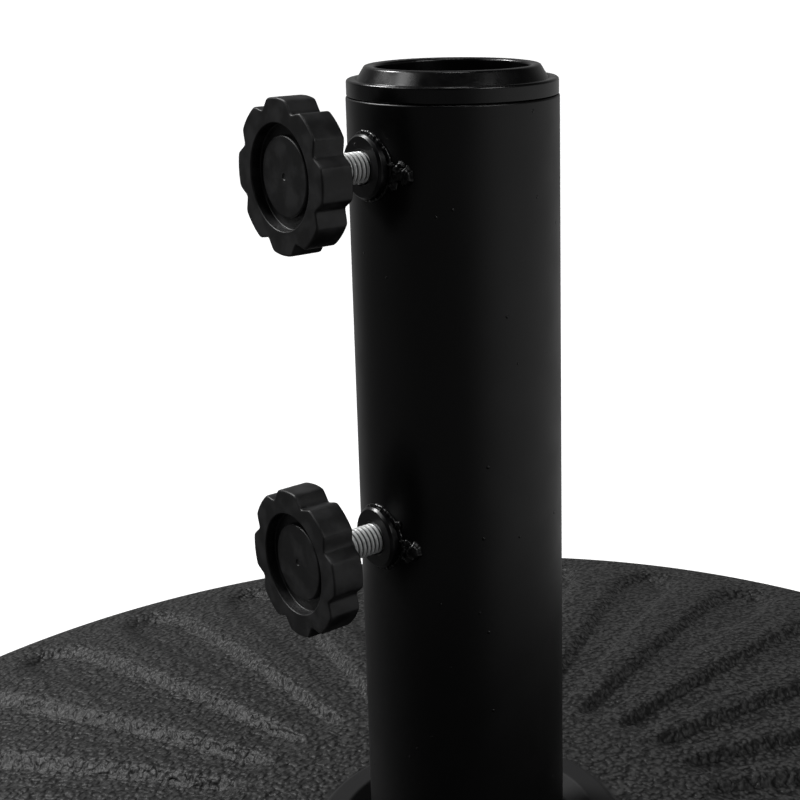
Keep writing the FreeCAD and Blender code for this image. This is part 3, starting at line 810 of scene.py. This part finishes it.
def soft_boxes():
    """Weak rectangular soft boxes that open the shadows and edge the tube."""
    for name, (place, (width, height), power) in SOFT_BOXES.items():
        data = bpy.data.lights.new(name, "AREA")
        data.shape = "RECTANGLE"
        data.size, data.size_y = width, height
        data.energy = power
        place_light(data, place)


def studio_sky():
    """Pale surroundings where they are seen. Elsewhere a dim studio, brighter low on the right and behind."""
    world = bpy.data.worlds.new("studio")
    world.use_nodes = True
    bpy.context.scene.world = world
    tree = world.node_tree
    background = tree.nodes["Background"]
    direction = add(tree, "TexCoord", output="Generated")

    def towards(centre, start, end, before, after):
        """Level that changes from before to after as directions turn towards a centre."""
        turned = add(tree, "VectorMath", {0: direction, 1: tuple(centre.normalized())}, "Value",
                     operation="DOT_PRODUCT")
        return add(tree, "MapRange", {"Value": turned, "From Min": start, "From Max": end,
                                      "To Min": before, "To Max": after}, interpolation_type="SMOOTHSTEP")

    right = towards(RIGHT - AWAY * 0.1 - UP * 0.3, start=0.3, end=1.0, before=0.08, after=0.38)
    low = towards(UP, start=-0.05, end=0.2, before=1.0, after=0.15)
    behind = towards(AWAY, start=0.4, end=1.0, before=0.0, after=0.2)
    strength = add(tree, "Math", {0: right, 1: low, 2: behind}, operation="MULTIPLY_ADD")
    seen = add(tree, "LightPath", output="Is Camera Ray")
    background.inputs["Color"].default_value = linear("#ffffff")
    tree.links.new(add(tree, "Mix", {0: seen, 2: strength, 3: 1.0}), background.inputs["Strength"])


def camera():
    """Camera at the tube's height, a little above and in front of it, looking slightly down."""
    heading, pitch, roll = (math.radians(v) for v in (HEADING, PITCH_DOWN, ROLL))
    ahead = Vector((math.sin(heading) * math.cos(pitch), math.cos(heading) * math.cos(pitch),
                    -math.sin(pitch)))
    level = Vector((math.cos(heading), -math.sin(heading), 0))
    upright = level.cross(ahead)
    side = math.cos(roll) * level + math.sin(roll) * upright
    top = math.cos(roll) * upright - math.sin(roll) * level
    data = bpy.data.cameras.new("camera")
    data.lens = LENS
    data.sensor_width = 36.0
    data.shift_x, data.shift_y = SHIFT
    data.clip_start = 0.01
    data.clip_end = 100.0
    made = bpy.data.objects.new("camera", data)
    bpy.context.collection.objects.link(made)
    place = UP * (TUBE_TOP + CAMERA_RISE) * MM - AWAY * CAMERA_DISTANCE * MM
    made.matrix_world = Matrix.Translation(place) @ Matrix((side, top, -ahead)).transposed().to_4x4()
    bpy.context.scene.camera = made


def main():
    camera()
    floor()
    studio_sky()
    key_light()
    soft_boxes()
    bpy.context.scene.view_settings.view_transform = "Standard"

    shell = pebbled_polyethylene()
    tube = powder_coated_steel("powder_coated_steel", "#060607", 0.36)
    nut = powder_coated_steel("powder_coated_nut", "#08080a", 0.3)
    # the coat flows on the weld, which leaves it shinier, with closer peel
    weld = powder_coated_steel("powder_coated_weld", "#060607", 0.28, peel=0.5)
    # from a polished tool, so it is glossy
    ring = moulded_plastic("moulded_abs", "#070708", "#0b0b0c", 0.24, 0.6, 0.02, IOR=1.53)
    # from a fine-grained tool, so it is satin, with pale scuffs from hands
    grip = moulded_plastic("moulded_nylon", "#111112", "#2d2d2e", 0.48, 0.3, 0.03, IOR=1.52)
    pan = moulded_plastic("moulded_polypropylene", "#141415", "#1a1a1b", 0.55, 0.8, 0.04, IOR=1.49)
    # rubber is matt and takes up dust
    rubber = moulded_plastic("moulded_rubber", "#0e0e0e", "#161616", 0.8, 0.5, 0.05, IOR=1.52)
    zinc = zinc_plated_steel()

    base_shell(shell)
    pole_tube(tube)
    pole_ring(ring)
    for which in ("upper", "lower"):
        axis = about_screw(which + "_clamp_screw")[2]
        threaded_screw(which, zinc_plated_steel(which + "_zinc_thread", axis))
        weld_nut(which, nut)
        weld_bead(which, weld)
        knob(which, grip)
        knob_cap(which, grip)
    cad_finishes = {"concrete_core": cast_concrete(), "base_pan": pan, "pan_screws": zinc,
                    "rubber_feet": rubber, "tube_end_plate": tube, "tube_end_nut": tube,
                    "anchor_bolt": zinc, "anchor_spring_washer": zinc, "anchor_washer": zinc}
    for node, finish in cad_finishes.items():
        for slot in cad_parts[node].material_slots:
            slot.material = finish


main()
